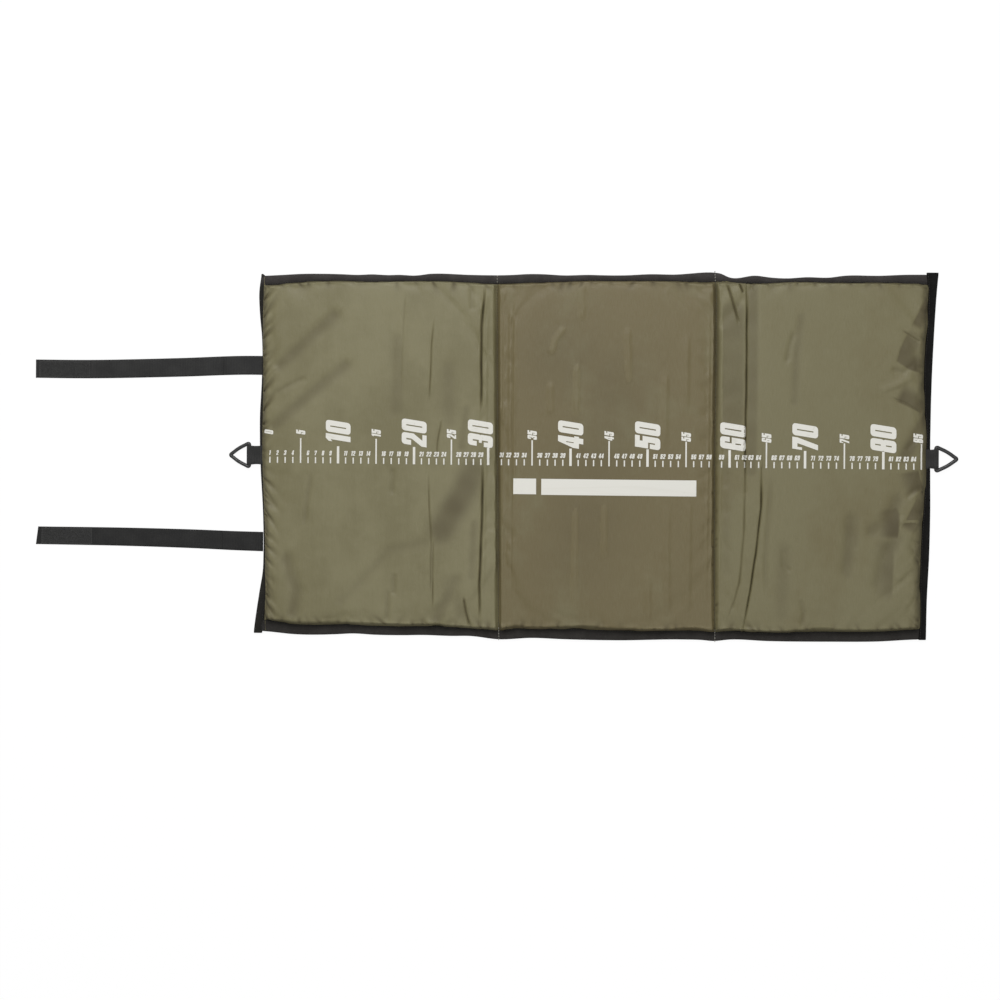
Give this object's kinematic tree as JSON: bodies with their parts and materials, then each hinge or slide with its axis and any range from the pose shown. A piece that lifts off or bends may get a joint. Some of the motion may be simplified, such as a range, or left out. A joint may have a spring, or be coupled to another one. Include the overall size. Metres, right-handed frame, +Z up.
{
  "type": "unhooking mat",
  "caption": "Folding padded fishing mat with a printed centimetre ruler, bound edges, carrying straps on one end and a peg ring at each end.",
  "frame": {"origin": "middle of the underside of the padded body, straps and rings not counted, on the surface it lies on", "axes": "+X to the right end in the picture (away from the straps), +Y to the back edge (top of the picture), +Z up"},
  "size_m": [1.2188, 0.475, 0.018],
  "materials": {
    "olive_cloth": "satin olive coated polyester, lightly wrinkled",
    "olive_base_cloth": "plain olive coated polyester",
    "foam": "closed-cell white foam sheet",
    "black_binding": "woven black binding tape",
    "black_webbing": "flat woven black webbing",
    "hook_tape": "black hook tape",
    "loop_tape": "black napped loop tape",
    "ring_wire": "black plated wire, satin",
    "seam_thread": "pale olive sewing thread"
  },
  "bodies": {
    "middle_panel": {"middle_foam_pad": "foam", "middle_top_cover": "olive_cloth", "middle_base_cover": "olive_base_cloth", "middle_back_binding": "black_binding", "middle_front_binding": "black_binding", "left_fold_thread": "seam_thread", "right_fold_thread": "seam_thread", "back_loop_patch": "loop_tape", "front_loop_patch": "loop_tape"},
    "left_panel": {"left_foam_pad": "foam", "left_top_cover": "olive_cloth", "left_base_cover": "olive_base_cloth", "left_back_binding": "black_binding", "left_front_binding": "black_binding", "left_end_binding": "black_binding", "left_ring_loop": "black_webbing", "back_strap_anchor": "black_webbing", "front_strap_anchor": "black_webbing"},
    "right_panel": {"right_foam_pad": "foam", "right_top_cover": "olive_cloth", "right_base_cover": "olive_base_cloth", "right_back_binding": "black_binding", "right_front_binding": "black_binding", "right_end_binding": "black_binding", "right_ring_loop": "black_webbing"},
    "left_ring_body": {"left_ring": "ring_wire"},
    "right_ring_body": {"right_ring": "ring_wire"},
    "back_strap_side_body": {"back_strap_side": "black_webbing"},
    "back_strap_end_body": {"back_strap_end": "black_webbing", "back_hook_patch": "hook_tape"},
    "front_strap_side_body": {"front_strap_side": "black_webbing"},
    "front_strap_end_body": {"front_strap_end": "black_webbing", "front_hook_patch": "hook_tape"}
  },
  "joints": [
    {"name": "left_fold", "type": "hinge", "parent": "middle_panel", "child": "left_panel", "pos_m": [-0.141, 0, 0.0278], "axis": [0, 1, 0], "range_deg": [0, 179.9]},
    {"name": "right_fold", "type": "hinge", "parent": "middle_panel", "child": "right_panel", "pos_m": [0.16, 0, 0.0184], "axis": [0, -1, 0], "range_deg": [0, 179.9]},
    {"name": "left_ring_swing", "type": "hinge", "parent": "left_panel", "child": "left_ring_body", "pos_m": [-0.4545, 0, 0.0038], "axis": [0, 1, 0], "range_deg": [0, 100]},
    {"name": "right_ring_swing", "type": "hinge", "parent": "right_panel", "child": "right_ring_body", "pos_m": [0.445, 0, 0.0038], "axis": [0, 1, 0], "range_deg": [-100, 0]},
    {"name": "back_strap_bend", "type": "hinge", "parent": "left_panel", "child": "back_strap_side_body", "pos_m": [-0.462, 0.117, 0.0005], "axis": [0, 1, 0], "range_deg": [0, 90]},
    {"name": "back_strap_wrap", "type": "hinge", "parent": "back_strap_side_body", "child": "back_strap_end_body", "pos_m": [-0.5198, 0.117, 0.0005], "axis": [0, 1, 0], "range_deg": [0, 90]},
    {"name": "front_strap_bend", "type": "hinge", "parent": "left_panel", "child": "front_strap_side_body", "pos_m": [-0.462, -0.117, 0.0005], "axis": [0, 1, 0], "range_deg": [0, 90]},
    {"name": "front_strap_wrap", "type": "hinge", "parent": "front_strap_side_body", "child": "front_strap_end_body", "pos_m": [-0.5198, -0.117, 0.0005], "axis": [0, 1, 0], "range_deg": [0, 90]}
  ]
}
